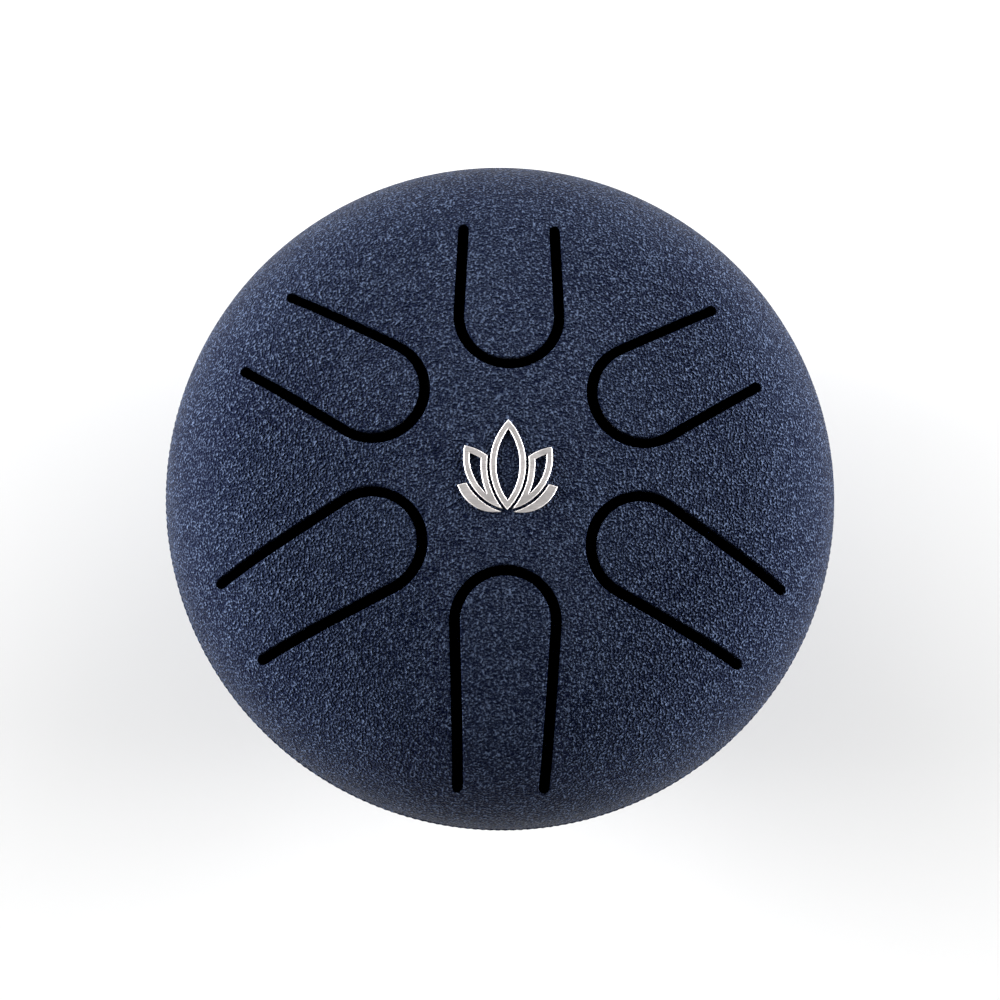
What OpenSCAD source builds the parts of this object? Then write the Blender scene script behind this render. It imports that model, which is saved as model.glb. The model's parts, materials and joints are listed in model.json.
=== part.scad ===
// Small steel tongue drum: a domed top with six tongues cut in it, a bowl with a sound port,
// and three screwed-on rubber feet. Origin on the floor under the drum's axis, +Z up.
// The first tongue points 30 degrees from +X, and the others follow anticlockwise.

/* [Body] */
// Outside diameter of the body at its seam
body_d = 80; // [76:1:84]
// Height of the top dome above the seam
dome_h = 20.5; // [19.5:0.1:22]
// Radius of the dome's rounded shoulder
shoulder_r = 17; // [15:0.5:18]
// Depth of the bottom bowl below the seam, which is also its corner radius
bowl_h = 17; // [16:0.5:18]
// Thickness of the painted steel sheet
sheet_t = 1; // [0.8:0.1:1.2]

/* [Tongues] */
// Width of the slots round the tongues
slot_w = 1.3; // [1:0.1:1.3]
// Distance from the drum's axis to the centre of each rounded tongue tip
tip_reach = 17.8; // [17:0.1:19]
// Radius of the slot's centre line round a tip
tip_r = 5.8; // [5:0.1:6.2]
// Angle by which each straight slot leans in towards the tongue's root
leg_lean = 2.6; // [0:0.2:4]
// Distance from the drum's axis to the root of tongue 1, the right upper one
root_1 = 30.4; // [28:0.1:37]
// Distance to the root of tongue 2, the far one and the shortest
root_2 = 28.7; // [28:0.1:37]
// Distance to the root of tongue 3, the left upper one
root_3 = 32; // [28:0.1:37]
// Distance to the root of tongue 4, the left lower one
root_4 = 34.7; // [28:0.1:37]
// Distance to the root of tongue 5, the near one
root_5 = 35.9; // [28:0.1:37]
// Distance to the root of tongue 6, the right lower one
root_6 = 34.1; // [28:0.1:37]

/* [Bottom] */
// Radius of the sound port
port_r = 5.5; // [5:0.5:9]
// Height of the port's drawn collar above the sheet
collar_h = 2.5; // [1.5:0.1:3]
// Distance from the drum's axis to each foot
foot_reach = 17; // [16.5:0.1:17.2]
// Bearing of the first foot, chosen so that no slot shows its nut from above
foot_bearing = 110; // [0:1:119]
// Height of a rubber foot
foot_h = 5.5; // [5:0.1:7]
// Radius of a foot where it meets the bowl
foot_r = 5.5; // [5:0.1:5.6]

/* [Emblem] */
// Width of the lotus emblem
emblem_size = 11.4; // [8:0.1:12.5]
// Thickness of the emblem's metal
emblem_t = 0.2; // [0.15:0.05:0.3]

/* [Hidden] */
// Curved faces are exact in the solids: these only smooth the preview.
$fn = 96;
far = 60;

body_r = body_d / 2;
seam_z = foot_h + bowl_h;
roots = [root_1, root_2, root_3, root_4, root_5, root_6];
// Hairline of clearance between a tongue and the sheet that it bends from
root_gap = 0.05;

// The dome's crown is an arc tangent to its shoulder.
shoulder_x = body_r - shoulder_r;
crown_r = (pow(shoulder_x, 2) + pow(dome_h, 2) - pow(shoulder_r, 2)) / (2 * (dome_h - shoulder_r));
crown_z = dome_h - crown_r;
tangent_x = crown_r * shoulder_x / (crown_r - shoulder_r);

// Weld bead that joins the two halves at the seam
bead_r = 0.65;
bead_x = body_r - sheet_t / 2;

// Bend of the sheet into the port's collar, on its inside
bend_r = 0.6;

// M3 fasteners: head, shank, washer and nut
shank_r = 1.5;
screw_length = 8;
head_r = 2.8;
head_h = 1.8;
recess_width = 0.8;
recess_span = 3.2;
recess_depth = 1;
washer_r = 3;
washer_t = 0.5;
nut_corner_r = 3.175;
nut_h = 2.4;
hole_r = 1.7;
foot_web = 2;
pocket_r = 3.2;
sole_r = foot_r - 0.4;
washer_z = foot_h - foot_web - washer_t;

// Lotus: width of its lines and of the gaps between petals, then each row's lean from
// upright, and its petals' length and width in shares of the emblem's size
petal_line = 0.7;
petal_gap = 0.35;
petal_tilts = [0, 34, 64];
petal_lengths = [0.92, 0.78, 0.556];
petal_widths = [0.36, 0.33, 0.24];

// Half section of the top dome above the seam, taken in by inset all over.
module dome_section(inset) {
    split_x = tangent_x * (crown_r - inset) / crown_r;
    intersection() {
        translate([0, crown_z]) circle(crown_r - inset, $fn = 360);
        square([split_x, dome_h]);
    }
    intersection() {
        translate([shoulder_x, 0]) circle(shoulder_r - inset);
        translate([split_x, 0]) square([shoulder_r, dome_h]);
    }
}

// Half section of the bottom bowl, drawn upside down so that its base is at the top.
module bowl_section(inset) {
    square([body_r - bowl_h, bowl_h - inset]);
    intersection() {
        translate([body_r - bowl_h, 0]) circle(bowl_h - inset);
        translate([body_r - bowl_h, 0]) square(bowl_h);
    }
}

module bead_section() translate([bead_x, 0]) circle(bead_r);

// The top dome before any slot is cut, in place.
module dome_sheet() {
    translate([0, 0, seam_z]) rotate_extrude() difference() {
        dome_section(0);
        dome_section(sheet_t);
        bead_section();
    }
}

// Places a child that lies along +X on tongue number i's own bearing.
module on_tongue(i) rotate(30 + 60 * (i - 1)) children();

// Prism over the plan of a tongue in line with +X: a round tip, with sides that lean in to
// the root. spread widens it from the slot's centre line, and root is where it ends.
module tongue_prism(spread, root) {
    r = tip_r + spread;
    lean_x = r * sin(leg_lean);
    lean_y = r * cos(leg_lean);
    end_y = lean_y - (root - tip_reach - lean_x) * tan(leg_lean);
    union() {
        translate([tip_reach, 0, seam_z]) cylinder(h = dome_h + 1, r = r);
        linear_extrude(far) polygon([
            [tip_reach, 0],
            [tip_reach + lean_x, lean_y], [root, end_y],
            [root, -end_y], [tip_reach + lean_x, -lean_y]
        ]);
    }
}

// Prism over a tongue and the slot round it, whose two ends are round.
module tongue_opening(root) {
    end_y = (tip_r - (root - tip_reach) * sin(leg_lean)) / cos(leg_lean);
    tongue_prism(slot_w / 2, root);
    for (s = [-1, 1]) translate([root, s * end_y, 0]) cylinder(h = far, r = slot_w / 2);
}

module top_shell() {
    color("midnightblue") difference() {
        dome_sheet();
        for (i = [1 : 6]) on_tongue(i) tongue_opening(roots[i - 1]);
    }
}

module tongue(i) {
    color("midnightblue") on_tongue(i) intersection() {
        dome_sheet();
        tongue_prism(-slot_w / 2, roots[i - 1] - root_gap);
    }
}

// The sheet turned up into the sound port, drawn upside down like the bowl.
module collar_section() {
    bend_x = port_r + sheet_t + bend_r;
    bend_y = bowl_h - sheet_t - bend_r;
    translate([port_r, bend_y - collar_h + bend_r]) square([sheet_t, collar_h - bend_r]);
    intersection() {
        translate([bend_x, bend_y]) difference() {
            circle(bend_r + sheet_t);
            circle(bend_r);
        }
        translate([port_r, bend_y]) square(bend_r + sheet_t);
    }
}

module bottom_shell() {
    color("midnightblue") difference() {
        translate([0, 0, seam_z]) mirror([0, 0, 1]) rotate_extrude() {
            difference() {
                bowl_section(0);
                bowl_section(sheet_t);
                square([port_r + sheet_t + bend_r, bowl_h]);
                bead_section();
            }
            collar_section();
        }
        at_feet() translate([0, 0, foot_h - 1]) cylinder(h = sheet_t + 2, r = hole_r);
    }
}

module seam_weld() {
    color("midnightblue") translate([0, 0, seam_z]) rotate_extrude() bead_section();
}

// Places a child at foot number i, or at all three.
module at_foot(i) rotate(foot_bearing + 120 * (i - 1)) translate([foot_reach, 0, 0]) children();
module at_feet() for (i = [1 : 3]) at_foot(i) children();

// Rubber foot: a tapered round pad with a pocket under it for the screw's head.
module foot(i) {
    color("dimgray") at_foot(i) rotate_extrude() polygon([
        [pocket_r, 0], [sole_r, 0], [foot_r, foot_h], [hole_r, foot_h],
        [hole_r, foot_h - foot_web], [pocket_r, foot_h - foot_web]
    ]);
}

// Pan-head screw, head down, with a cross recess in the head.
module foot_screw(i) {
    color("silver") at_foot(i) translate([0, 0, washer_z]) difference() {
        union() {
            translate([0, 0, -head_h]) cylinder(h = head_h, r = head_r);
            cylinder(h = screw_length, r = shank_r);
        }
        for (a = [0, 90]) rotate(a)
            translate([-recess_span / 2, -recess_width / 2, -head_h - 1])
                cube([recess_span, recess_width, recess_depth + 1]);
    }
}

module foot_washer(i) {
    color("silver") at_foot(i) translate([0, 0, washer_z]) difference() {
        cylinder(h = washer_t, r = washer_r);
        translate([0, 0, -1]) cylinder(h = washer_t + 2, r = hole_r);
    }
}

module foot_nut(i) {
    color("silver") at_foot(i) translate([0, 0, foot_h + sheet_t]) difference() {
        cylinder(h = nut_h, r = nut_corner_r, $fn = 6);
        translate([0, 0, -1]) cylinder(h = nut_h + 2, r = shank_r);
    }
}

// Pointed petal of a row, leaning to the right from its lower point. grow widens it all over.
module petal(row, grow = 0) {
    length = emblem_size * petal_lengths[row];
    width = emblem_size * petal_widths[row];
    bow = (pow(length, 2) / width + width) / 4;
    rotate(-petal_tilts[row]) translate([0, length / 2]) intersection_for (s = [-1, 1])
        translate([s * (bow - width / 2), 0]) circle(bow + grow);
}

// What shows of a petal behind the ones in front of it, which it stays clear of.
module shown_petal(row, grow, clear) {
    difference() {
        petal(row, grow);
        for (front = [0 : 1 : row - 1]) petal(front, clear);
    }
}

// Outline of each petal: one in front, and pairs that lean out from behind it.
module lotus_plan() {
    translate([0, -emblem_size * petal_lengths[0] / 2])
        for (row = [0 : 2], side = row == 0 ? [0] : [0, 1]) mirror([side, 0]) difference() {
            shown_petal(row, 0, petal_gap);
            shown_petal(row, -petal_line, petal_gap + petal_line);
        }
}

// Thin metal emblem that follows the crown, centred on the drum's axis.
module centre_emblem() {
    color("gainsboro") intersection() {
        translate([0, 0, seam_z + crown_z]) difference() {
            sphere(crown_r + emblem_t, $fn = 200);
            sphere(crown_r, $fn = 200);
        }
        translate([0, 0, seam_z]) linear_extrude(far) lotus_plan();
    }
}

top_shell();
bottom_shell();
seam_weld();
centre_emblem();
for (i = [1 : 6]) tongue(i);
for (i = [1 : 3]) {
    foot(i);
    foot_screw(i);
    foot_washer(i);
    foot_nut(i);
}
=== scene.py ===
"""Looks of the small steel tongue drum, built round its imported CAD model.

Everything is in metres in the CAD frame: the origin is on the floor under the drum's axis, and +Z is up.
"""

import json
import math

import bmesh
import bpy
from mathutils import Matrix, Vector
from mathutils.geometry import delaunay_2d_cdt
from mathutils.kdtree import KDTree


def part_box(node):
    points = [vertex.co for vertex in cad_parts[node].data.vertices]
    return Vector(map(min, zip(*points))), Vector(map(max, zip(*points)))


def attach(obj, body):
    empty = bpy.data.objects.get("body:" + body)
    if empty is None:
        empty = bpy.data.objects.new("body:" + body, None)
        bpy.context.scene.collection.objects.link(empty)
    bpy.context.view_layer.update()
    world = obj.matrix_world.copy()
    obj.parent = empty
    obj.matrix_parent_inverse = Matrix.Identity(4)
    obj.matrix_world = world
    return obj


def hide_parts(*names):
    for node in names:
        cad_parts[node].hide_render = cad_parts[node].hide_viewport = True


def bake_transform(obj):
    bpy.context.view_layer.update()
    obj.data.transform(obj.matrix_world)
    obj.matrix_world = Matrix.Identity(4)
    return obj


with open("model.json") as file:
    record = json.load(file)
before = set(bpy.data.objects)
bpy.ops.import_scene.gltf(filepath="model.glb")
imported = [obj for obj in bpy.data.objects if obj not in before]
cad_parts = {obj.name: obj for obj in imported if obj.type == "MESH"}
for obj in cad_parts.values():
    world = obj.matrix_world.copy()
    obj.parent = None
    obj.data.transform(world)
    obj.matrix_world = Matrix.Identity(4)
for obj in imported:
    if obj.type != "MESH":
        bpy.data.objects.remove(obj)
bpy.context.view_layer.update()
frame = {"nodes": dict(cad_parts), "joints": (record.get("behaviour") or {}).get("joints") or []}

MM = 0.001

# Sizes that the CAD model states too
SHOULDER_RADIUS = 17 * MM
SHEET = 1 * MM
SLOT = 1.3 * MM
LEG_LEAN = math.radians(2.6)
PORT_RADIUS = 5.5 * MM
PORT_BEND = 0.6 * MM
COLLAR_HEIGHT = 2.5 * MM
SCREW_HOLE = 1.7 * MM
SHANK_RADIUS = 1.5 * MM

# Sizes that only the looks have
EDGE = 0.12 * MM  # roundness of the painted edges along the slots
EDGE_STEPS = 4
OUTER_STEP = 0.6 * MM  # spacing of the points on the dome's outer face
INNER_STEP = 1.4 * MM  # the same on its inner face
WALL_STEP = 0.4 * MM  # and along the slots
CLEARANCE = 0.6  # share of a step that the points of a face keep from its edges
SLOT_END_STEPS = 10
RIM_LIFT = 0.1 * MM  # the shells end inside the weld bead, this far from the seam
BOWL_SEGMENTS = 240
BOWL_STEPS = 48
BEND_STEPS = 8
HOLE_SEGMENTS = 48
CORNER_STEPS = 5
SHARP = math.radians(30)  # edges sharper than this stay sharp
STRAIGHT = math.radians(89)  # half the angle of a corner that is as good as flat

# Places of the materials on a sheet of steel: paint outside, a painted highlight along the edges, and
# inside, where there is no paint, a near-black painted shade
PAINTED, EDGE_HIGHLIGHT, BARE_SHADE = 0, 1, 2

# Places that come from the frame
bead_low, bead_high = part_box("seam_weld")
top_low, top_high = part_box("top_shell")
SEAM_Z = (bead_low.z + bead_high.z) / 2
BODY_RADIUS = round((top_high.x - top_low.x) / 2, 4)
DOME_HEIGHT = top_high.z - SEAM_Z
BASE_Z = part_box("bottom_shell")[0].z
BOWL_HEIGHT = SEAM_Z - BASE_Z

# Tongue 2 lies along +Y, so its box gives the size and the place of every tongue's tip.
tip_low, tip_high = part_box("tongue_2")
TIP_RADIUS = tip_high.x + SLOT / 2
TIP_REACH = tip_low.y + tip_high.x


# ---------------------------------------------------------------- surfaces


class Dome:
    """A face of the domed sheet: a crown arc tangent to a shoulder arc, inset below the outer face."""

    def __init__(self, inset):
        shoulder_x = BODY_RADIUS - SHOULDER_RADIUS
        rise = DOME_HEIGHT - SHOULDER_RADIUS
        crown = (shoulder_x**2 + DOME_HEIGHT**2 - SHOULDER_RADIUS**2) / (2 * rise)
        self.crown_radius = crown - inset
        self.shoulder_radius = SHOULDER_RADIUS - inset
        self.shoulder_x = shoulder_x
        self.crown_z = SEAM_Z + DOME_HEIGHT - crown
        self.join = crown * shoulder_x / (crown - SHOULDER_RADIUS) * self.crown_radius / crown
        self.join_angle = math.asin(self.join / self.crown_radius)

    def height(self, reach):
        """Height over a point at that distance from the axis."""
        if reach < self.join:
            return self.crown_z + math.sqrt(self.crown_radius**2 - reach**2)
        run = min(reach - self.shoulder_x, self.shoulder_radius)
        return SEAM_Z + math.sqrt(self.shoulder_radius**2 - run**2)

    def along(self, reach):
        """Length along the surface from the axis out to that distance."""
        if reach < self.join:
            return self.crown_radius * math.asin(reach / self.crown_radius)
        run = min(1.0, (reach - self.shoulder_x) / self.shoulder_radius)
        bent = math.asin(run) - self.join_angle
        return self.crown_radius * self.join_angle + self.shoulder_radius * bent

    def reach(self, along):
        """The opposite of along."""
        bent = along / self.crown_radius
        if bent < self.join_angle:
            return self.crown_radius * math.sin(bent)
        bent = self.join_angle + (along - self.crown_radius * self.join_angle) / self.shoulder_radius
        return self.shoulder_x + self.shoulder_radius * math.sin(bent)

    def normal(self, point):
        """Outward normal above a point in plan."""
        reach = math.hypot(point[0], point[1])
        if reach < self.join:
            sine = reach / self.crown_radius
        else:
            sine = min(1.0, (reach - self.shoulder_x) / self.shoulder_radius)
        outward = Vector((point[0], point[1], 0)).normalized()
        return outward * sine + Vector((0, 0, math.sqrt(1 - sine * sine)))

    def flat(self, point):
        """A point's place in the plan of this face rolled out flat from the axis."""
        reach = math.hypot(point[0], point[1])
        return Vector(point[:2]) * (self.along(reach) / reach if reach else 1)


class Skin:
    """A mesh in the making: its points, its faces with their finish, and the normal at each corner."""

    def __init__(self):
        self.points = []
        self.faces = []
        self.finishes = []
        self.normals = []

    def add(self, points):
        """Adds points, and returns their numbers."""
        first = len(self.points)
        self.points.extend(Vector(p) for p in points)
        return list(range(first, len(self.points)))

    def face(self, corners, normals, finish):
        """Adds a face, turned the way its normals point."""
        a, b, c = (self.points[i] for i in corners[:3])
        if (b - a).cross(c - a).dot(sum(normals, Vector())) < 0:
            corners, normals = corners[::-1], normals[::-1]
        self.faces.append(corners)
        self.finishes.append(finish)
        self.normals.extend(normals)

    def strip(self, above, below, normals_above, normals_below, finish):
        """Quads between two closed rings of as many points. Each side has a normal for either end."""
        for j in range(len(above)):
            k = (j + 1) % len(above)
            a, b = normals_above[j]
            c, d = normals_below[j]
            self.face([above[j], above[k], below[k], below[j]], [a, b, d, c], finish)

    def cover(self, surface, loops, step, inside, facing):
        """Triangles over a face of the dome, between loops of points that the mesh already has."""
        flat, known, edges = [], [], []
        for loop in loops:
            first = len(flat)
            flat.extend(surface.flat(self.points[i]) for i in loop)
            known.extend(loop)
            edges.extend((first + j, first + (j + 1) % len(loop)) for j in range(len(loop)))
        near = KDTree(len(flat))
        for i, p in enumerate(flat):
            near.insert((p.x, p.y, 0), i)
        near.balance()
        limit = max(p.length for p in flat)
        new = []
        for ring in range(int(limit / step) + 1):
            along = ring * step
            count = max(1, round(2 * math.pi * ring))
            for j in range(count):
                turn = 2 * math.pi * (j + ring % 2 / 2) / count
                reach = surface.reach(along)
                place = (reach * math.cos(turn), reach * math.sin(turn))
                spot = Vector((along * math.cos(turn), along * math.sin(turn)))
                if inside(*place) and near.find((spot.x, spot.y, 0))[2] > CLEARANCE * step:
                    new.append((place[0], place[1], surface.height(reach)))
                    flat.append(spot)
        known.extend(self.add(new))
        _, _, triangles, came_from, _, _ = delaunay_2d_cdt(flat, edges, [], 0, 1e-9)
        for triangle in triangles:
            corners = [known[came_from[i][0]] for i in triangle]
            middle = sum((self.points[i] for i in corners), Vector()) / 3
            if inside(middle.x, middle.y):
                normals = [surface.normal(self.points[i]) * facing for i in corners]
                # Faces on the inner side get the near-black painted shade
                self.face(corners, normals, PAINTED if facing > 0 else BARE_SHADE)

    def made(self, name):
        """The mesh as an object."""
        mesh = bpy.data.meshes.new(name)
        mesh.from_pydata(self.points, [], self.faces)
        mesh.polygons.foreach_set("material_index", self.finishes)
        mesh.normals_split_custom_set(self.normals)
        thing = bpy.data.objects.new(name, mesh)
        bpy.context.scene.collection.objects.link(thing)
        return thing


outer_face = Dome(0)
inner_face = Dome(SHEET)


# ---------------------------------------------------------------- tongues and top


class Tongue:
    """One tongue in plan, lying along +X, with the slot round it."""

    def __init__(self, number, joint):
        self.number = number
        self.hinge = Vector(joint["pos_m"])
        self.root = math.hypot(self.hinge.x, self.hinge.y)
        self.turn = Matrix.Rotation(math.atan2(self.hinge.y, self.hinge.x), 2)
        drop = (self.root - TIP_REACH) * math.sin(LEG_LEAN)
        self.slot_end = (TIP_RADIUS - drop) / math.cos(LEG_LEAN)
        self.leg_steps = round((self.root - TIP_REACH) / WALL_STEP)

    def placed(self, x, y):
        """A point or direction in the tongue's plan, turned into the drum's."""
        return self.turn @ Vector((x, y))

    def arc(self, centre, radius, first, last, steps):
        """Points of an arc in plan, each with the direction away from its centre."""
        for j in range(steps + 1):
            a = first + (last - first) * j / steps
            out = Vector((math.cos(a), math.sin(a)))
            yield (Vector(centre) + out * radius, out)

    def wall(self, spread):
        """The wall at that distance from the slot's centre line, from root to tip and back."""
        radius = TIP_RADIUS + spread
        tangent = math.pi / 2 - LEG_LEAN
        steps = round(math.pi * TIP_RADIUS / WALL_STEP)
        tip = list(self.arc((TIP_REACH, 0), radius, tangent, 2 * math.pi - tangent, steps))
        start, out = tip[0]
        root = Vector((self.root, self.slot_end + spread))
        leg = [(root.lerp(start, j / self.leg_steps), out) for j in range(self.leg_steps)]
        back = [(Vector((p.x, -p.y)), Vector((n.x, -n.y))) for p, n in reversed(leg)]
        return leg + tip + back

    def root_line(self, half_width):
        """Points between the two ends of the root line, which the tongue and the shell share."""
        steps = round(self.slot_end / WALL_STEP)
        for j in range(1, 2 * steps):
            yield Vector((self.root, half_width * (j / steps - 1)))

    def outline(self, back_off):
        """The tongue's own edge, set back from the slot, with the direction that each point faces."""
        spread = -SLOT / 2 - back_off
        return self.wall(spread), list(self.root_line(self.slot_end + spread))

    def opening(self, back_off):
        """The shell's edge round the tongue and its slot, set back from the slot."""
        spread = SLOT / 2 + back_off
        ends = []
        for side in (1, -1):
            centre = (self.root, side * self.slot_end)
            first, last = -side * math.pi / 2, side * math.pi / 2
            arc = self.arc(centre, spread, first, last, SLOT_END_STEPS)
            ends.append([(p, -n) for p, n in arc])
        middle = [(p, -n) for p, n in self.wall(spread)[1:-1]]
        return ends[0] + middle + ends[1][::-1], list(self.root_line(self.slot_end - spread))

    def inside(self, x, y, spread, slot_ends):
        """Whether a point in the drum's plan is within the wall at that spread, or in the slot's ends."""
        place = self.turn.transposed() @ Vector((x, y))
        run, side = place.x - TIP_REACH, abs(place.y)
        if math.hypot(run, side) < TIP_RADIUS + spread:
            return True
        if slot_ends and math.hypot(place.x - self.root, side - self.slot_end) < spread:
            return True
        within = run * math.sin(LEG_LEAN) + side * math.cos(LEG_LEAN) < TIP_RADIUS + spread
        return 0 < run < self.root - TIP_REACH and within


tongues = [Tongue(i + 1, joint) for i, joint in enumerate(frame["joints"])]


def slot_edge(skin, tongue, outline, root_facing):
    """The rounded and upright parts of an edge beside a slot. Returns its outer and its inner ring."""
    rings, faced = [], []
    root_normal = Vector((root_facing, 0))
    for step in range(EDGE_STEPS + 2):
        bend = min(step, EDGE_STEPS) / EDGE_STEPS * math.pi / 2
        wall, root = outline(EDGE * (1 - math.sin(bend)))
        points, normals = [], []
        for p, out in wall + [(p, root_normal) for p in root]:
            place, way = tongue.placed(*p), tongue.placed(*out)
            reach = place.length
            z = outer_face.height(reach) - EDGE * (1 - math.cos(bend))
            if step > EDGE_STEPS:
                z = inner_face.height(reach)
            up = outer_face.normal(place)
            points.append((place.x, place.y, z))
            normals.append((up * math.cos(bend) + way.to_3d() * math.sin(bend)).normalized())
        flat = tongue.placed(*root_normal).to_3d()
        last = len(wall) - 1
        ends = [(normals[j], normals[j + 1]) for j in range(last)]
        ends += [(flat, flat)] * (len(points) - last)
        rings.append(skin.add(points))
        faced.append(ends)
    for step in range(EDGE_STEPS + 1):
        # The rounded strips get the painted highlight along the edge, the upright wall the near-black
        # painted shade
        finish = EDGE_HIGHLIGHT if step < EDGE_STEPS else BARE_SHADE
        skin.strip(rings[step], rings[step + 1], faced[step], faced[step + 1], finish)
    return rings[0], rings[-1]


def make_tongue(tongue):
    """The steel of a tongue, from its tip to the root line where it meets the top."""
    skin = Skin()
    outer, inner = slot_edge(skin, tongue, tongue.outline, 1)
    for face, ring, step, back_off, facing in (
        (outer_face, outer, OUTER_STEP, EDGE, 1),
        (inner_face, inner, INNER_STEP, 0, -1),
    ):
        spread = -SLOT / 2 - back_off
        skin.cover(face, [ring], step, lambda x, y: tongue.inside(x, y, spread, False), facing)
    thing = skin.made(f"tongue_{tongue.number}_steel")
    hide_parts(f"tongue_{tongue.number}")
    return thing


def make_top():
    """The domed sheet with its six openings, down to the rim inside the weld bead."""
    skin = Skin()
    edges = [slot_edge(skin, t, t.opening, -1) for t in tongues]
    rims = []
    for number, (face, step, back_off, facing) in enumerate(
        ((outer_face, OUTER_STEP, EDGE, 1), (inner_face, INNER_STEP, 0, -1))
    ):
        rim_reach = face.shoulder_x + math.sqrt(face.shoulder_radius**2 - RIM_LIFT**2)
        count = round(2 * math.pi * BODY_RADIUS / OUTER_STEP)
        turns = [2 * math.pi * j / count for j in range(count)]
        rim = [(rim_reach * math.cos(a), rim_reach * math.sin(a), SEAM_Z + RIM_LIFT) for a in turns]
        rims.append(skin.add(rim))

        def clear(x, y):
            spread = SLOT / 2 + back_off
            cut_out = any(t.inside(x, y, spread, True) for t in tongues)
            return math.hypot(x, y) < rim_reach and not cut_out

        skin.cover(face, [rims[-1]] + [e[number] for e in edges], step, clear, facing)
    down = [(Vector((0, 0, -1)), Vector((0, 0, -1)))] * len(rims[0])
    skin.strip(rims[0], rims[1], down, down, BARE_SHADE)
    thing = skin.made("top_steel")
    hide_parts("top_shell")
    return thing


# ---------------------------------------------------------------- turned pieces


def rounded(corners):
    """A closed outline of (reach, height, radius) corners, with each corner turned into an arc."""
    points = []
    for j, (x, z, radius) in enumerate(corners):
        here = Vector((x, z))
        back = Vector(corners[j - 1][:2]) - here
        on = Vector(corners[(j + 1) % len(corners)][:2]) - here
        half = back.angle(on) / 2
        if radius == 0 or half > STRAIGHT:
            points.append(here)
            continue
        centre = here + (back.normalized() + on.normalized()).normalized() * (radius / math.sin(half))
        first = here + back.normalized() * (radius / math.tan(half)) - centre
        last = here + on.normalized() * (radius / math.tan(half)) - centre
        swing = first.angle_signed(last)
        for k in range(CORNER_STEPS + 1):
            points.append(centre + Matrix.Rotation(-swing * k / CORNER_STEPS, 2) @ first)
    return points


def smoothed(thing):
    """Shades a mesh smooth, apart from its sharp edges."""
    thing.data.shade_smooth()
    thing.data.set_sharp_from_angle(angle=SHARP)
    return thing


def turned(name, outline, segments, centre=Vector((0, 0, 0)), radius_at=None):
    """A solid of revolution about the upright axis through centre, from a closed outline.

    The outline's points are (reach, height). Where radius_at is given, it moves them by the angle.
    """
    count = len(outline)
    points = []
    for j in range(segments):
        a = 2 * math.pi * j / segments
        for x, z in outline:
            if radius_at:
                x, z = radius_at(a, x, z)
            points.append(centre + Vector((x * math.cos(a), x * math.sin(a), z)))
    faces = []
    for j in range(segments):
        here, there = j * count, (j + 1) % segments * count
        for k in range(count):
            m = (k + 1) % count
            faces.append((here + k, there + k, there + m, here + m))
    mesh = bpy.data.meshes.new(name)
    mesh.from_pydata(points, [], faces)
    thing = bpy.data.objects.new(name, mesh)
    bpy.context.scene.collection.objects.link(thing)
    facing_outwards(mesh)
    return smoothed(thing)


def facing_outwards(mesh):
    """Closes a mesh where points coincide, and turns its faces outwards."""
    work = bmesh.new()
    work.from_mesh(mesh)
    bmesh.ops.remove_doubles(work, verts=work.verts, dist=1e-7)
    bmesh.ops.recalc_face_normals(work, faces=work.faces)
    work.to_mesh(mesh)
    work.free()


def cut(thing, *cutters):
    """Takes the cutters away from a mesh, and deletes them."""
    for cutter in cutters:
        step = thing.modifiers.new("cut", "BOOLEAN")
        step.operation, step.solver, step.object = "DIFFERENCE", "EXACT", cutter
        bpy.context.view_layer.update()
        evaluated = thing.evaluated_get(bpy.context.evaluated_depsgraph_get())
        mesh = bpy.data.meshes.new_from_object(evaluated)
        thing.modifiers.clear()
        thing.data = mesh
        bpy.data.objects.remove(cutter)
    return smoothed(thing)


def bar(name, size, centre, turn, taper):
    """A box cutter, whose upper face is taper times as wide and long as its lower one."""
    points = []
    for z, share in ((-0.5, 1.0), (0.5, taper)):
        for x, y in ((-0.5, -0.5), (0.5, -0.5), (0.5, 0.5), (-0.5, 0.5)):
            points.append(Vector((x * size[0] * share, y * size[1] * share, z * size[2])))
    spin = Matrix.Rotation(turn, 3, "Z")
    mesh = bpy.data.meshes.new(name)
    faces = [(3, 2, 1, 0), (4, 5, 6, 7), (0, 1, 5, 4), (1, 2, 6, 5), (2, 3, 7, 6), (3, 0, 4, 7)]
    mesh.from_pydata([spin @ p + centre for p in points], [], faces)
    thing = bpy.data.objects.new(name, mesh)
    bpy.context.scene.collection.objects.link(thing)
    return thing


def middle_of(node):
    """Centre of a CAD node's box in plan, on the floor."""
    low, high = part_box(node)
    return Vector(((low.x + high.x) / 2, (low.y + high.y) / 2, 0))


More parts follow.
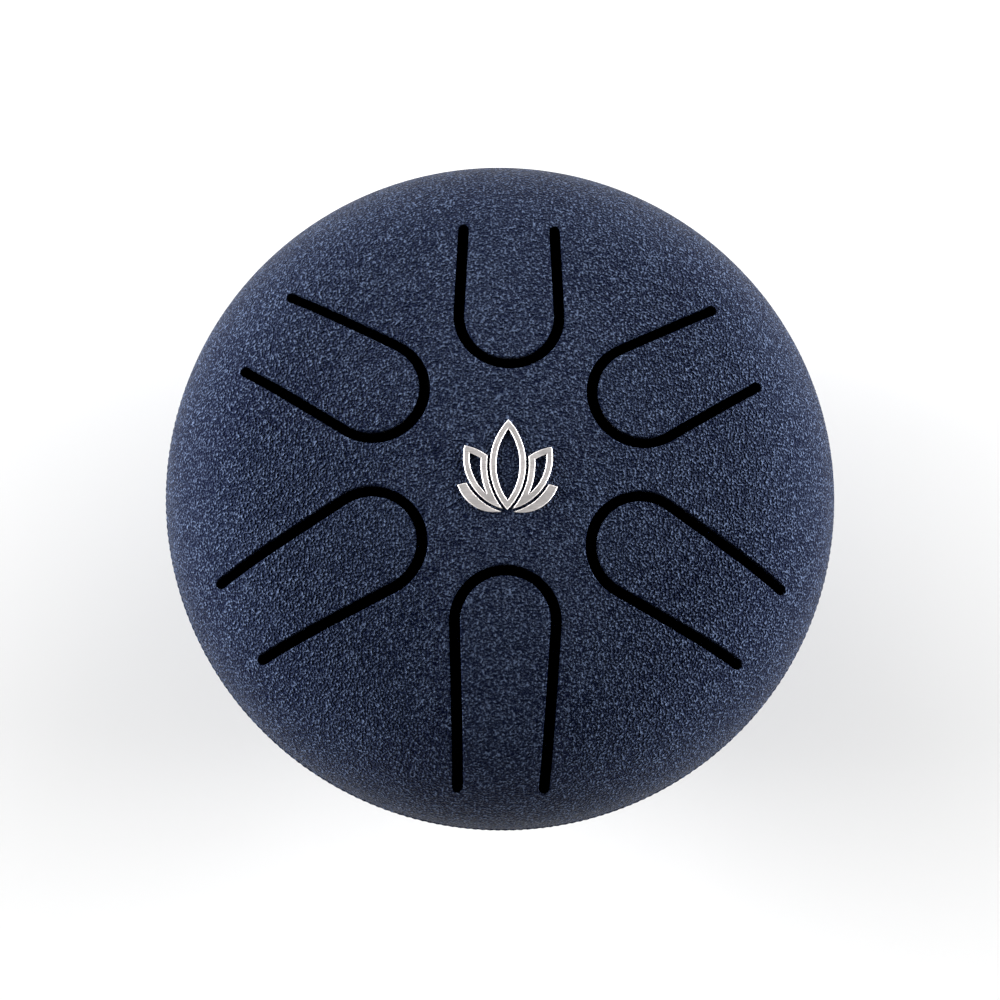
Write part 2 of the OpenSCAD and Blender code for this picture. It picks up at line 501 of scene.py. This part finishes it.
def make_bottom():
    """The bowl, with the sheet turned up into the port's collar and a hole over each foot."""
    corner = BODY_RADIUS - BOWL_HEIGHT
    bend = math.asin(RIM_LIFT / BOWL_HEIGHT)
    outline = []
    for radius, way in ((BOWL_HEIGHT, 1), (BOWL_HEIGHT - SHEET, -1)):
        arc = []
        for j in range(BOWL_STEPS + 1):
            a = bend + (math.pi / 2 - bend) * j / BOWL_STEPS
            arc.append(Vector((corner + radius * math.cos(a), SEAM_Z - radius * math.sin(a))))
        collar_x = PORT_RADIUS if way == 1 else PORT_RADIUS + SHEET
        floor = BASE_Z if way == 1 else BASE_Z + SHEET
        turn_radius = PORT_BEND + SHEET if way == 1 else PORT_BEND
        centre = Vector((collar_x + turn_radius, floor + turn_radius))
        for j in range(BEND_STEPS + 1):
            a = math.pi / 2 * (1 + j / BEND_STEPS)
            arc.append(centre + Vector((turn_radius * math.cos(a), -turn_radius * math.sin(a))))
        outline.extend(arc if way == 1 else arc[::-1])
        if way == 1:
            lip_z = BASE_Z + SHEET + COLLAR_HEIGHT - SHEET / 2
            for j in range(BEND_STEPS + 1):
                a = math.pi * (1 - j / BEND_STEPS)
                lip = Vector((PORT_RADIUS + SHEET / 2, lip_z))
                outline.append(lip + Vector((math.cos(a), math.sin(a))) * SHEET / 2)
    thing = turned("bottom_steel", outline, BOWL_SEGMENTS)
    holes = []
    for i in (1, 2, 3):
        under, over = BASE_Z - SHEET, BASE_Z + 2 * SHEET
        post = [Vector((0, under)), Vector((SCREW_HOLE, under))]
        post += [Vector((SCREW_HOLE, over)), Vector((0, over))]
        holes.append(turned(f"hole_{i}", post, HOLE_SEGMENTS, middle_of(f"foot_{i}")))
    cut(thing, *holes)
    middle = Vector((0, 0, SEAM_Z))
    # Faces inside the drum get the near-black painted shade; the port's bore stays painted
    for face in thing.data.polygons:
        inwards = face.normal.dot(middle - face.center) > 0
        in_port = math.hypot(face.center.x, face.center.y) < PORT_RADIUS + SHEET / 2
        face.material_index = BARE_SHADE if inwards and not in_port else PAINTED
    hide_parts("bottom_shell")
    return thing


RIPPLES = 280
RIPPLE_DEPTH = 0.045  # half the ripples' height, as a share of the bead's radius
RIPPLE_DRIFT = 0.6  # how far the torch's pace drifts, in radians of a ripple
DRIFTS = 5
BEAD_STEPS = 16


def make_weld():
    """The bead round the seam, with the faint ripples of the torch under its paint."""
    radius = (bead_high.z - bead_low.z) / 2
    centre = bead_high.x - radius

    def rippled(a, x, z):
        wave = math.cos(RIPPLES * a + RIPPLE_DRIFT * math.sin(DRIFTS * a))
        share = 1 - RIPPLE_DEPTH + RIPPLE_DEPTH * wave
        return centre + (x - centre) * share, SEAM_Z + (z - SEAM_Z) * share

    outline = []
    for j in range(BEAD_STEPS):
        a = 2 * math.pi * j / BEAD_STEPS
        outline.append(Vector((centre + radius * math.cos(a), SEAM_Z + radius * math.sin(a))))
    thing = turned("weld_bead", outline, RIPPLES * 6, radius_at=rippled)
    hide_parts("seam_weld")
    return thing


# ---------------------------------------------------------------- feet and fasteners


FOOT_TAPER = 0.4 * MM  # how much smaller the sole's radius is than the top's
FOOT_POCKET = 3.2 * MM  # radius of the pocket for the screw's head
FOOT_WEB = 2 * MM  # rubber between the pocket and the bowl
FOOT_GROOVE = 0.25 * MM
FOOT_WAIST = 0.62  # height of the groove round the side, as a share of the foot's
FOOT_SEGMENTS = 96


def make_foot(number):
    """A moulded rubber foot: soft edges, a groove round its side and one in its sole."""
    low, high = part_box(f"foot_{number}")
    wide, tall = (high.x - low.x) / 2, high.z - low.z
    sole = wide - FOOT_TAPER
    web = tall - FOOT_WEB
    ring = (FOOT_POCKET + sole) / 2
    waist = tall * FOOT_WAIST
    side = sole + (wide - sole) * waist / tall
    crisp, hard, soft = 0.08 * MM, 0.1 * MM, 0.25 * MM
    sole_edge, top_edge = 0.45 * MM, 0.3 * MM
    slope = 0.02 * MM
    outline = rounded([
        (FOOT_POCKET, 0, soft),
        (ring - FOOT_GROOVE, 0, crisp),
        (ring, FOOT_GROOVE, crisp),
        (ring + FOOT_GROOVE, 0, crisp),
        (sole, 0, sole_edge),
        (side - slope, waist - FOOT_GROOVE, crisp),
        (side - FOOT_GROOVE, waist, hard),
        (side + slope, waist + FOOT_GROOVE, crisp),
        (wide, tall, top_edge),
        (SCREW_HOLE, tall, hard),
        (SCREW_HOLE, web, hard),
        (FOOT_POCKET, web, soft),
    ])
    thing = turned(f"rubber_foot_{number}", outline, FOOT_SEGMENTS, middle_of(f"foot_{number}"))
    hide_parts(f"foot_{number}")
    return thing


HEAD_FLAT = 0.55  # reach of the head's flat face, as a share of the head's radius
HEAD_SIDE = 0.75 * MM  # height over that face where the head's side starts
HEAD_CURVE = 0.9 * MM
HEAD_SHOULDER = 0.5 * MM
HEAD_EDGE = 0.12 * MM
SHANK_FILLET = 0.1 * MM
THREAD_PITCH = 0.5 * MM
THREAD_DEPTH = 0.16 * MM
THREAD_START = 2.4 * MM  # over the head's seat
THREAD_END = 0.5 * MM  # below the screw's end
RECESS_ARM = (3.1 * MM, 0.75 * MM, 1.4 * MM)  # length, width and depth of the recess's arms
RECESS_MIDDLE = 0.4 * MM  # height of an arm's middle over the head's face
RECESS_TAPER = 0.6
SCREW_SEGMENTS = 64


def make_screw(number):
    """A pan-head screw, head down, with a cross recess and a thread of rings."""
    low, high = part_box(f"foot_screw_{number}")
    head_radius = (high.x - low.x) / 2
    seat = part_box(f"foot_washer_{number}")[0].z
    outline = rounded([
        (0, low.z, 0),
        (head_radius * HEAD_FLAT, low.z, HEAD_CURVE),
        (head_radius, low.z + HEAD_SIDE, HEAD_SHOULDER),
        (head_radius, seat, HEAD_EDGE),
        (SHANK_RADIUS, seat, SHANK_FILLET),
    ])
    z = seat + THREAD_START
    while z < high.z - THREAD_END:
        outline.append(Vector((SHANK_RADIUS, z)))
        outline.append(Vector((SHANK_RADIUS - THREAD_DEPTH, z + THREAD_PITCH / 2)))
        z += THREAD_PITCH
    outline += [Vector((SHANK_RADIUS - 2 * THREAD_DEPTH, high.z)), Vector((0, high.z))]
    centre = middle_of(f"foot_screw_{number}")
    thing = turned(f"pan_screw_{number}", outline, SCREW_SEGMENTS, centre)
    recess = centre + Vector((0, 0, low.z + RECESS_MIDDLE))
    arms = []
    for k in (0, 1):
        turn = math.radians(45 + 90 * k)
        arms.append(bar(f"arm_{k}", RECESS_ARM, recess, turn, RECESS_TAPER))
    cut(thing, *arms)
    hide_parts(f"foot_screw_{number}")
    return thing


# ---------------------------------------------------------------- emblem


PETAL_LINE = 0.7 * MM  # width of the metal round a petal
PETAL_GAP = 0.35 * MM  # between a petal and the one in front of it
PETAL_LEANS = [0, 34, 64]  # degrees, for the middle petal and then outwards
PETAL_LENGTHS = [0.92, 0.78, 0.556]  # shares of the emblem's width
PETAL_WIDTHS = [0.36, 0.33, 0.24]
PETAL_STEPS = 40
CHAMFER = 0.08 * MM


class Petal:
    """A pointed petal of the lotus: the overlap of two round discs, leaning from its lower point."""

    def __init__(self, row, side, size):
        length, width = size * PETAL_LENGTHS[row], size * PETAL_WIDTHS[row]
        self.bow = (length**2 / width + width) / 4
        turn = Matrix.Rotation(-side * math.radians(PETAL_LEANS[row]), 2)
        start = Vector((0, -size * PETAL_LENGTHS[0] / 2))
        offset = self.bow - width / 2
        self.centres = [start + turn @ Vector((s * offset, length / 2)) for s in (-1, 1)]

    def depth(self, point):
        """Distance from the petal's edge, negative inside it."""
        return max((point - c).length for c in self.centres) - self.bow

    def outline(self, grow):
        """The petal's edge, moved out by grow."""
        radius = self.bow + grow
        half = (self.centres[1] - self.centres[0]) / 2
        if half.length >= radius:
            return []
        points = []
        for centre, towards in ((self.centres[0], half), (self.centres[1], -half)):
            swing = math.acos(half.length / radius)
            for j in range(PETAL_STEPS):
                turn = Matrix.Rotation(swing * (2 * j / PETAL_STEPS - 1), 2)
                points.append(centre + turn @ towards.normalized() * radius)
        return points


def make_emblem():
    """The metal lotus: outlined petals with chamfered edges, lying on the crown."""
    low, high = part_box("centre_emblem")
    size = high.x - low.x
    thickness = high.z - outer_face.height(0)
    petals = [[Petal(row, side, size) for row in range(3)] for side in (1, -1)]

    def metal(point):
        """Distance from the edge of the metal, negative inside it."""
        best = 1.0
        for rows in petals:
            for row, petal in enumerate(rows):
                rim, hollow = petal.depth(point), petal.depth(point) + PETAL_LINE
                for front in rows[:row]:
                    rim = max(rim, PETAL_GAP - front.depth(point))
                    hollow = max(hollow, PETAL_GAP + PETAL_LINE - front.depth(point))
                best = min(best, max(rim, -hollow))
        return best

    flat, edges = [], []
    beyond = PETAL_GAP + PETAL_LINE
    levels = [0, -PETAL_LINE, PETAL_GAP, beyond]
    inner_levels = [-CHAMFER, CHAMFER - PETAL_LINE, PETAL_GAP + CHAMFER, beyond - CHAMFER]
    for petal in [petals[0][0]] + petals[0][1:] + petals[1][1:]:
        for level in levels + inner_levels:
            ring = petal.outline(level)
            first, around = len(flat), len(ring)
            edges.extend((first + j, first + (j + 1) % around) for j in range(around))
            flat.extend(ring)
    spots, _, triangles, _, _, _ = delaunay_2d_cdt(flat, edges, [], 0, 1e-8)
    kept = [t for t in triangles if metal(sum((spots[i] for i in t), Vector((0, 0))) / 3) < 0]
    used = sorted({i for t in kept for i in t})
    place = {old: new for new, old in enumerate(used)}
    top, bottom = [], []
    for i in used:
        spot, base = spots[i], outer_face.height(spots[i].length)
        lift = min(CHAMFER, max(0.0, -metal(spots[i]))) - CHAMFER
        top.append((spot.x, spot.y, base + thickness + lift))
        bottom.append((spot.x, spot.y, base))
    count = len(used)
    faces = [tuple(place[i] for i in t) for t in kept]
    sides = {}
    for face in faces:
        for j in range(3):
            edge = (face[j], face[(j + 1) % 3])
            sides[tuple(sorted(edge))] = None if tuple(sorted(edge)) in sides else edge
    walls = [(a, a + count, b + count, b) for a, b in filter(None, sides.values())]
    under = [tuple(i + count for i in reversed(face)) for face in faces]
    mesh = bpy.data.meshes.new("lotus_emblem")
    mesh.from_pydata(top + bottom, [], faces + walls + under)
    thing = bpy.data.objects.new("lotus_emblem", mesh)
    bpy.context.scene.collection.objects.link(thing)
    facing_outwards(mesh)
    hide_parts("centre_emblem")
    return smoothed(thing)


# ---------------------------------------------------------------- materials


class Look:
    """A procedural material, with its texture fixed to the drum's own frame."""

    def __init__(self, name):
        self.material = bpy.data.materials.new(name)
        self.material.use_nodes = True
        self.tree = self.material.node_tree
        self.shader = self.tree.nodes["Principled BSDF"]
        self.place = self.node("ShaderNodeTexCoord").outputs["Object"]

    def node(self, kind, **values):
        """A new shader node with those settings."""
        made = self.tree.nodes.new(kind)
        for key, value in values.items():
            setattr(made, key, value)
        return made

    def join(self, source, target):
        """Links an output to an input."""
        self.tree.links.new(source, target)

    def grain(self, size, detail=2.0, roughness=0.5, warp=0.0, stretch=(1, 1, 1)):
        """Noise with features of that size in metres."""
        mapping = self.node("ShaderNodeMapping")
        mapping.inputs["Scale"].default_value = [1 / (size * s) for s in stretch]
        noise = self.node("ShaderNodeTexNoise")
        noise.inputs["Scale"].default_value = 1
        noise.inputs["Detail"].default_value = detail
        noise.inputs["Roughness"].default_value = roughness
        noise.inputs["Distortion"].default_value = warp
        self.join(self.place, mapping.inputs["Vector"])
        self.join(mapping.outputs["Vector"], noise.inputs["Vector"])
        return noise.outputs["Fac"]

    def spread(self, source, low, high, from_low=0.35, from_high=0.65):
        """A value moved from one range to another."""
        node = self.node("ShaderNodeMapRange")
        node.inputs["From Min"].default_value = from_low
        node.inputs["From Max"].default_value = from_high
        node.inputs["To Min"].default_value = low
        node.inputs["To Max"].default_value = high
        self.join(source, node.inputs["Value"])
        return node.outputs["Result"]

    def curved(self, source, power):
        """A value from 0 to 1 raised to a power, which keeps its low part low."""
        node = self.node("ShaderNodeMath", operation="POWER", use_clamp=True)
        node.inputs[1].default_value = power
        self.join(source, node.inputs[0])
        return node.outputs[0]

    def total(self, *parts):
        """The sum of outputs, each times its weight."""
        result = None
        for output, weight in parts:
            node = self.node("ShaderNodeMath", operation="MULTIPLY_ADD")
            node.inputs[1].default_value = weight
            self.join(output, node.inputs[0])
            if result is None:
                node.inputs[2].default_value = 0
            else:
                self.join(result, node.inputs[2])
            result = node.outputs[0]
        return result

    def mix(self, share, first, second):
        """A colour between two, each a colour or an output."""
        node = self.node("ShaderNodeMix", data_type="RGBA")
        self.join(share, node.inputs[0])
        for slot, value in ((6, first), (7, second)):
            if isinstance(value, tuple):
                node.inputs[slot].default_value = (*value, 1)
            else:
                self.join(value, node.inputs[slot])
        return node.outputs[2]

    def bump(self, height, depth):
        """Relief of that depth in metres."""
        node = self.node("ShaderNodeBump")
        node.inputs["Strength"].default_value = 1
        node.inputs["Distance"].default_value = depth
        self.join(height, node.inputs["Height"])
        self.join(node.outputs["Normal"], self.shader.inputs["Normal"])

    def set(self, **values):
        """Sets constants on the shader, with underscores for the spaces in their names."""
        for key, value in values.items():
            self.shader.inputs[key.replace("_", " ")].default_value = value


def powder_coat(name, dark, light):
    """Navy powder coat with a fine, leathery wrinkle; its colour is dark in its hollows as painted shade
    and light on its crests as painted highlights.
    """
    look = Look(name)
    fine = look.grain(0.25 * MM, detail=0, warp=0.3)
    crease = look.grain(0.8 * MM, detail=2, warp=1.0)
    patch = look.grain(14 * MM, detail=3)
    relief = look.total((fine, 1.0), (crease, 0.35))
    # lighter colour on the wrinkle's crests as painted highlights, darker in its hollows as painted shade
    crest_highlight = look.curved(look.spread(relief, 0, 1, 0.6, 0.94), 1.8)
    tint = look.mix(crest_highlight, dark, light)
    worn = look.mix(look.spread(patch, 0, 0.04), tint, light)
    look.join(worn, look.shader.inputs["Base Color"])
    look.join(look.spread(crease, 0.42, 0.55), look.shader.inputs["Roughness"])
    look.bump(relief, 0.5 * MM)
    look.set(Specular_IOR_Level=0.06, Specular_Tint=(0.45, 0.65, 1.0, 1))
    return look.material


def bare_shade_steel():
    """Sheet without paint in the slots and inside the drum, coloured near-black as painted shade for the
    shade inside the hollow drum.
    """
    look = Look("painted_shade_steel")
    scale = look.grain(0.5 * MM, detail=3, roughness=0.6)
    # near-black colours as painted shade
    shade = look.mix(look.spread(scale, 0, 1), (0.002, 0.002, 0.003), (0.006, 0.006, 0.008))
    look.join(shade, look.shader.inputs["Base Color"])
    look.join(look.spread(scale, 0.6, 0.8), look.shader.inputs["Roughness"])
    look.bump(scale, 0.02 * MM)
    look.set(Specular_IOR_Level=0.1)
    return look.material


def brushed_nickel():
    """Warm plated metal with fine level brush strokes."""
    look = Look("brushed_nickel")
    strokes = look.grain(0.09 * MM, detail=3, roughness=0.7, stretch=(22, 1, 1))
    dull = look.grain(2.5 * MM, detail=2)
    shade = look.mix(look.spread(strokes, 0, 1), (0.72, 0.68, 0.67), (0.95, 0.91, 0.9))
    look.join(shade, look.shader.inputs["Base Color"])
    look.join(look.spread(dull, 0.45, 0.58), look.shader.inputs["Roughness"])
    look.bump(strokes, 0.012 * MM)
    look.set(Metallic=0.75)
    return look.material


def black_rubber():
    """Moulded rubber, matt, with a faint bloom."""
    look = Look("black_rubber")
    fine = look.grain(0.22 * MM, detail=3, roughness=0.6)
    bloom = look.grain(2 * MM, detail=3)
    shade = look.mix(look.spread(bloom, 0, 1), (0.012, 0.012, 0.013), (0.03, 0.03, 0.031))
    look.join(shade, look.shader.inputs["Base Color"])
    look.join(look.spread(fine, 0.62, 0.8), look.shader.inputs["Roughness"])
    look.bump(fine, 0.02 * MM)
    return look.material


def zinc_plate():
    """Bright zinc plate on the fasteners, slightly clouded."""
    look = Look("zinc_plate")
    cloud = look.grain(0.8 * MM, detail=3, warp=0.5)
    fine = look.grain(0.12 * MM, detail=2)
    shade = look.mix(look.spread(cloud, 0, 1), (0.5, 0.51, 0.54), (0.74, 0.75, 0.76))
    look.join(shade, look.shader.inputs["Base Color"])
    look.join(look.spread(cloud, 0.2, 0.38), look.shader.inputs["Roughness"])
    look.bump(fine, 0.006 * MM)
    look.set(Metallic=1.0)
    return look.material


# The coat's colours: the hollows' one is painted shade, the crests' one a painted highlight
NAVY_HOLLOW_SHADE = (0.0004, 0.002, 0.015)
NAVY_CREST_HIGHLIGHT = (0.08, 0.108, 0.182)
# The colours of the painted highlight along the slots' edges, a lighter copy of the coat
EDGE_HIGHLIGHT_HOLLOW = (0.06, 0.075, 0.12)
EDGE_HIGHLIGHT_CREST = (0.3, 0.35, 0.45)

navy = powder_coat("navy_powder_coat", NAVY_HOLLOW_SHADE, NAVY_CREST_HIGHLIGHT)
# a lighter copy of the coat, as a painted highlight along the slots' edges
edge_highlight_navy = powder_coat("navy_powder_coat_edge_highlight", EDGE_HIGHLIGHT_HOLLOW, EDGE_HIGHLIGHT_CREST)
sheet_finishes = [navy, edge_highlight_navy, bare_shade_steel()]
nickel, rubber, zinc = brushed_nickel(), black_rubber(), zinc_plate()


def dressed(thing, slot, *materials):
    """Gives a piece its materials. The slot argument is not used."""
    thing.data.materials.clear()
    for material in materials:
        thing.data.materials.append(material)
    return thing


# ---------------------------------------------------------------- the drum


FASTENER_BEVEL = 0.07 * MM

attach(dressed(make_top(), "powder_coat_navy", *sheet_finishes), "drum")
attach(dressed(make_bottom(), "powder_coat_navy", *sheet_finishes), "drum")
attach(dressed(make_weld(), "powder_coat_navy", navy), "drum")
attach(dressed(make_emblem(), "brushed_nickel", nickel), "drum")

for tongue in tongues:
    steel = dressed(make_tongue(tongue), "powder_coat_navy", *sheet_finishes)
    towards_tip = tongue.placed(TIP_REACH, 0).to_3d()
    towards_tip.z = tongue.hinge.z
    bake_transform(steel)

for i in (1, 2, 3):
    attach(dressed(make_foot(i), "black_rubber", rubber), "drum")
    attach(dressed(make_screw(i), "zinc_steel", zinc), "drum")
    for part in ("washer", "nut"):
        node = frame["nodes"][f"foot_{part}_{i}"]
        dressed(node, "zinc_steel", zinc)
        softened = node.modifiers.new("soft_edges", "BEVEL")
        softened.width = FASTENER_BEVEL
        softened.segments = 2
        softened.limit_method = "ANGLE"


# ---------------------------------------------------------------- studio


FLOOR_HALF = 0.5
FLOOR_COLOUR = (0.9, 0.9, 0.9, 1)
SOFTBOX_WIDTH = 0.45
SOFTBOX_HEIGHT = 0.16
SOFTBOX_DISTANCE = 0.6
SOFTBOX_RISE = math.radians(13)
TENT_LOW = 0.1  # sine of the height at which the pale horizon starts to fade
TENT_HIGH = 0.4  # and of the height where it has faded
TENT_TOP = 0.01  # strength overhead, where the horizon's is 1


def make_floor():
    """A plain pale floor under the drum."""
    half = FLOOR_HALF
    corners = [(-half, -half, 0), (half, -half, 0), (half, half, 0), (-half, half, 0)]
    mesh = bpy.data.meshes.new("floor")
    mesh.from_pydata(corners, [], [(0, 1, 2, 3)])
    floor = bpy.data.objects.new("floor", mesh)
    bpy.context.scene.collection.objects.link(floor)
    look = bpy.data.materials.new("pale_floor")
    look.use_nodes = True
    shader = look.node_tree.nodes["Principled BSDF"]
    shader.inputs["Base Color"].default_value = FLOOR_COLOUR
    shader.inputs["Roughness"].default_value = 0.9
    shader.inputs["Specular IOR Level"].default_value = 0.1
    mesh.materials.append(look)


def softbox(name, bearing, power):
    """A wide, low light that faces the drum from that bearing, in degrees anticlockwise from +X."""
    lamp = bpy.data.lights.new(name, "AREA")
    lamp.shape = "RECTANGLE"
    lamp.energy = power
    lamp.size = SOFTBOX_WIDTH
    lamp.size_y = SOFTBOX_HEIGHT
    thing = bpy.data.objects.new(name, lamp)
    turn = math.radians(bearing)
    level = Vector((math.cos(turn), math.sin(turn), 0))
    way = level * math.cos(SOFTBOX_RISE) + Vector((0, 0, math.sin(SOFTBOX_RISE)))
    thing.location = way * SOFTBOX_DISTANCE
    aim = Vector((0, 0, SEAM_Z)) - thing.location
    thing.rotation_euler = aim.to_track_quat("-Z", "Y").to_euler()
    thing.visible_camera = False
    bpy.context.scene.collection.objects.link(thing)


def make_world():
    """A pale band round the horizon that fades upwards, as in a low light tent."""
    world = bpy.data.worlds.new("studio")
    world.use_nodes = True
    tree = world.node_tree
    background = tree.nodes["Background"]
    direction = tree.nodes.new("ShaderNodeTexCoord").outputs["Generated"]
    split = tree.nodes.new("ShaderNodeSeparateXYZ")
    fade = tree.nodes.new("ShaderNodeMapRange")
    fade.interpolation_type = "SMOOTHSTEP"
    fade.inputs["From Min"].default_value = TENT_LOW
    fade.inputs["From Max"].default_value = TENT_HIGH
    fade.inputs["To Min"].default_value = 1.0
    fade.inputs["To Max"].default_value = TENT_TOP
    tree.links.new(direction, split.inputs[0])
    tree.links.new(split.outputs["Z"], fade.inputs["Value"])
    tree.links.new(fade.outputs["Result"], background.inputs["Strength"])
    background.inputs["Color"].default_value = (1, 1, 1, 1)
    bpy.context.scene.world = world


make_floor()
softbox("left_softbox", 174, 9.4)
softbox("back_left_softbox", 132, 2.8)
softbox("back_right_softbox", 48, 2.8)
softbox("right_softbox", 6, 8.8)
make_world()
bpy.context.scene.view_settings.view_transform = "Standard"


# ---------------------------------------------------------------- camera


CAMERA_DISTANCE = 0.4
LENS = 120  # millimetres, on a sensor 36 mm wide
SENSOR = 36
NEAREST = 0.01
LEAN_FORWARD = math.radians(9.9)
LEAN_LEFT = math.radians(2.0)
ROLL = math.radians(0.7)
AIM_X = -0.13 * MM
AIM_Y = -0.55 * MM


def make_camera():
    """A long lens over the drum, leaning a little towards the near side and the left."""
    camera = bpy.data.objects.new("camera", bpy.data.cameras.new("camera"))
    camera.data.sensor_width = SENSOR
    camera.data.lens = LENS
    camera.data.clip_start = NEAREST
    away = Vector((-math.sin(LEAN_LEFT), -math.sin(LEAN_FORWARD), 0))
    away.z = math.sqrt(1 - away.length_squared)
    camera.location = Vector((AIM_X, AIM_Y, SEAM_Z)) + away * CAMERA_DISTANCE
    right = Vector((0, 1, 0)).cross(away).normalized()
    upright = Matrix((right, away.cross(right), away)).transposed()
    camera.rotation_euler = (upright @ Matrix.Rotation(ROLL, 3, "Z")).to_euler()
    bpy.context.scene.collection.objects.link(camera)
    return camera


bpy.context.scene.camera = make_camera()
